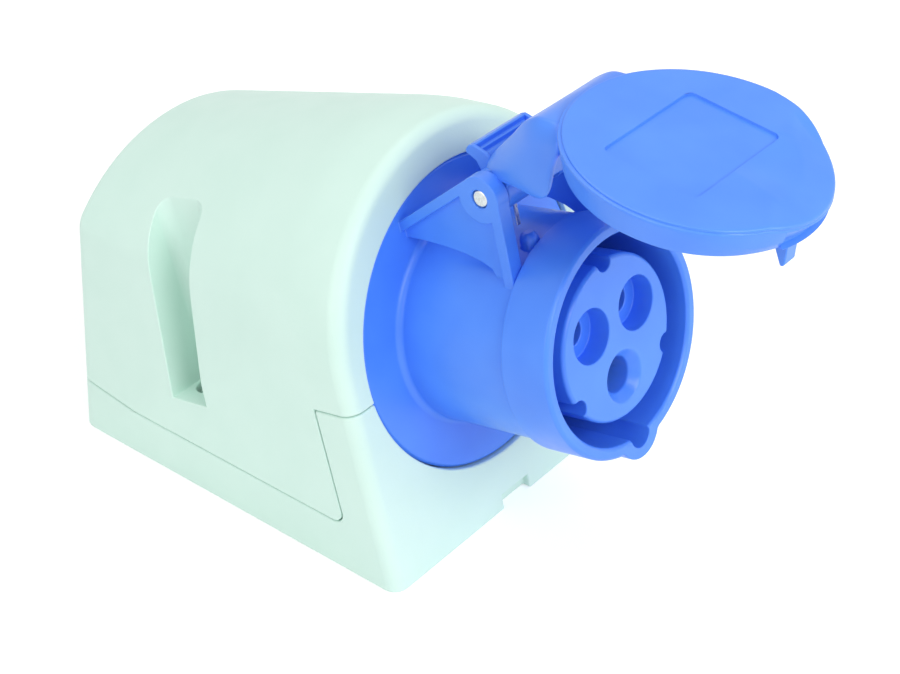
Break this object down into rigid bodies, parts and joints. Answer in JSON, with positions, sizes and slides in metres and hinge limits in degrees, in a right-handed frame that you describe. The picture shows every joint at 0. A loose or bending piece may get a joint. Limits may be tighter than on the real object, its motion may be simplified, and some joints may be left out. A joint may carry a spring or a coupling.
{
  "type": "industrial wall socket",
  "caption": "Surface-mounted industrial wall socket with a slanted round collar, keyway, sleeve contacts and a hinged splash lid over a two-part housing.",
  "frame": {"origin": "middle of the wall face of the base", "axes": "+Z out of the wall, -Y the way the socket points, X across the housing"},
  "size_m": [0.084, 0.175, 0.1097],
  "materials": {
    "housing": "fine texture",
    "blue_plastic": "satin",
    "rubber": "matt",
    "brass": "turned",
    "steel": "zinc plated",
    "dark_plastic": "matt"
  },
  "bodies": {
    "housing": {"wall_base": "housing", "cover": "housing", "cover_screws": "steel", "screw_washers": "steel", "cable_grommet": "rubber", "socket_shell": "blue_plastic", "flange_gasket": "rubber", "contact_carrier": "blue_plastic", "line_contact": "brass", "neutral_contact": "brass", "earth_contact": "brass", "sleeve_springs": "steel", "terminal_screws": "steel", "contact_retainer": "dark_plastic", "retainer_screws": "steel", "hinge_pin": "steel"},
    "lid": {"lid": "blue_plastic", "lid_seal": "rubber", "lid_spring": "steel"}
  },
  "joints": [
    {"name": "lid_hinge", "type": "hinge", "parent": "housing", "child": "lid", "pos_m": [0, -0.05608, 0.08836], "axis": [1, 0, 0], "range_deg": [-30, 69]}
  ]
}
